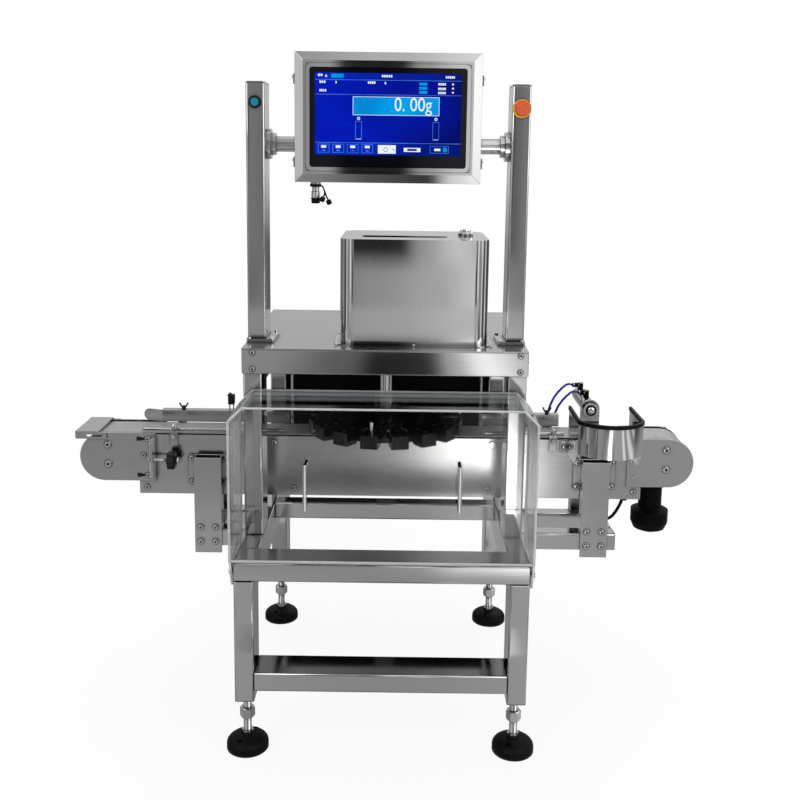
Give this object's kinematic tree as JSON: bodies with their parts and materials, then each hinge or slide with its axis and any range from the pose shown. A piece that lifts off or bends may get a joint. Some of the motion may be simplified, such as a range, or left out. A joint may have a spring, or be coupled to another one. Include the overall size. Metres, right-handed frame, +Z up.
{
  "type": "rotary checkweigher",
  "caption": "Rotary checkweigher: a pocketed star wheel over a belt conveyor on a tube frame, with a tilting touch screen, clear front guard and pusher reject station.",
  "frame": {"origin": "on the floor under the middle of the whole machine", "axes": "+Z up, +X along the belt to the outfeed and reject end, -Y towards the operator in front of the screen"},
  "size_m": [1.4199, 0.732, 1.451],
  "materials": {
    "frame_steel": "satin brushed",
    "polished_steel": "polished",
    "black_plastic": "matte",
    "dark_panel": "satin paint",
    "black_rubber": "matte",
    "motor_black": "cast, painted black",
    "belt_grey": "satin",
    "clear_plastic": "clear, gloss",
    "screen_black": "gloss",
    "computer_grey": "satin",
    "cell_aluminium": "satin",
    "button_green": "gloss",
    "button_red": "gloss",
    "collar_yellow": "satin",
    "tube_blue": "gloss"
  },
  "bodies": {
    "frame": {"front_legs": "frame_steel", "rear_columns": "frame_steel", "front_rails": "frame_steel", "side_rails": "frame_steel", "cross_rails": "frame_steel", "front_columns": "frame_steel", "tube_plugs": "black_plastic", "foot_pads": "black_rubber", "foot_stems": "polished_steel", "foot_nuts": "polished_steel", "deck_plate": "frame_steel", "deck_aprons": "polished_steel", "body_panels": "dark_panel", "screen_posts": "frame_steel", "post_plates": "frame_steel", "tilt_flanges": "polished_steel", "start_collar": "polished_steel", "stop_collar": "collar_yellow", "drive_housing": "polished_steel", "drive_top": "polished_steel", "drive_gearmotor": "motor_black", "shaft_bearing": "polished_steel", "transfer_table": "frame_steel", "weigh_pan": "frame_steel", "load_cell": "cell_aluminium", "side_plates": "frame_steel", "end_plates": "frame_steel", "roller_bearings": "black_plastic", "belt": "belt_grey", "slider_bed": "frame_steel", "infeed_plate": "frame_steel", "conveyor_legs": "frame_steel", "support_beams": "frame_steel", "belt_gearmotor": "motor_black", "guides": "frame_steel", "infeed_sensor": "black_plastic", "guard_screws": "polished_steel", "reject_guard": "polished_steel", "reject_trim": "black_rubber", "reject_unit": "frame_steel", "air_tubes": "tube_blue", "motor_cable": "black_rubber"},
    "star_wheel": {"star_shaft": "polished_steel", "star_disc": "black_plastic", "star_blocks": "black_plastic", "star_hub": "black_plastic"},
    "head_roller": {"head_roller": "polished_steel"},
    "tail_roller": {"tail_roller": "polished_steel"},
    "screen": {"screen_housing": "polished_steel", "screen_bezel": "polished_steel", "screen_trim": "polished_steel", "screen_glass": "screen_black", "screen_computer": "computer_grey", "screen_plug": "polished_steel"},
    "guard": {"guard_panels": "clear_plastic", "guard_handles": "polished_steel"},
    "start_button": {"start_button": "button_green"},
    "stop_button": {"stop_button": "button_red"},
    "reject_pusher": {"reject_pusher": "polished_steel"},
    "tension_knob": {"tension_knob": "black_plastic"}
  },
  "joints": [
    {"name": "star_turn", "type": "hinge", "parent": "frame", "child": "star_wheel", "pos_m": [0, 0.05, 0.62], "axis": [0, 0, 1], "continuous": true},
    {"name": "head_roller_turn", "type": "hinge", "parent": "frame", "child": "head_roller", "pos_m": [0.653, 0.05, 0.548], "axis": [0, 1, 0], "continuous": true},
    {"name": "tail_roller_turn", "type": "hinge", "parent": "frame", "child": "tail_roller", "pos_m": [-0.645, 0.05, 0.548], "axis": [0, 1, 0], "continuous": true},
    {"name": "screen_tilt", "type": "hinge", "parent": "frame", "child": "screen", "pos_m": [0, -0.052, 1.262], "axis": [1, 0, 0], "range_deg": [-20, 20]},
    {"name": "guard_swing", "type": "hinge", "parent": "frame", "child": "guard", "pos_m": [0, -0.28, 0.394], "axis": [1, 0, 0], "range_deg": [0, 70]},
    {"name": "start_press", "type": "slide", "parent": "frame", "child": "start_button", "axis": [0, 1, 0], "range_m": [0, 0.004], "stiffness_N_per_m": 800},
    {"name": "stop_press", "type": "slide", "parent": "frame", "child": "stop_button", "axis": [0, 1, 0], "range_m": [0, 0.004], "stiffness_N_per_m": 1500},
    {"name": "reject_push", "type": "slide", "parent": "frame", "child": "reject_pusher", "axis": [0, -1, 0], "range_m": [0, 0.08]},
    {"name": "knob_turn", "type": "hinge", "parent": "frame", "child": "tension_knob", "pos_m": [-0.486, -0.031, 0.548], "axis": [1, 0, 0], "continuous": true}
  ],
  "couplings": [
    {"joint": "tail_roller_turn", "follows": "head_roller_turn", "ratio": 1}
  ]
}
